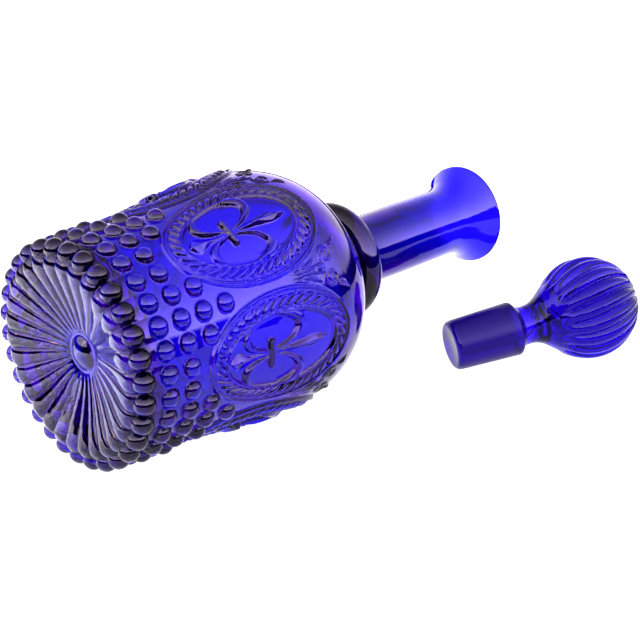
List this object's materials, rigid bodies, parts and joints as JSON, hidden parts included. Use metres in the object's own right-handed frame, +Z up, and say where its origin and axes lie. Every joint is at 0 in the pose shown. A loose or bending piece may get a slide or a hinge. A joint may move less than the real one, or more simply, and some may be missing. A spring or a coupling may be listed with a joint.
{
  "type": "glass decanter with ball stopper",
  "caption": "Pressed-glass decanter lying on its side, with hobnail beads, oval medallions, a flared lip and a separate ground-glass ball stopper.",
  "frame": {"origin": "centre of the ring of base beads, on the bottle's own axis", "axes": "+X runs level from the bottle's base towards its mouth, +Z is up, and the bottle and the stopper lie on a level table top below the origin"},
  "size_m": [0.2818, 0.1365, 0.1044],
  "materials": {
    "bottle_glass": "fire-polished transparent cobalt-blue pressed glass",
    "stopper_glass": "polished cobalt-blue glass ball and stem, with a ground, satin plug"
  },
  "bodies": {
    "bottle": {"bottle": "bottle_glass"},
    "stopper": {"stopper": "stopper_glass"}
  },
  "joints": [
    {"name": "stopper_lift", "type": "slide", "parent": "bottle", "child": "stopper", "axis": [0, 0, 1], "range_m": [0, 0.12]}
  ]
}
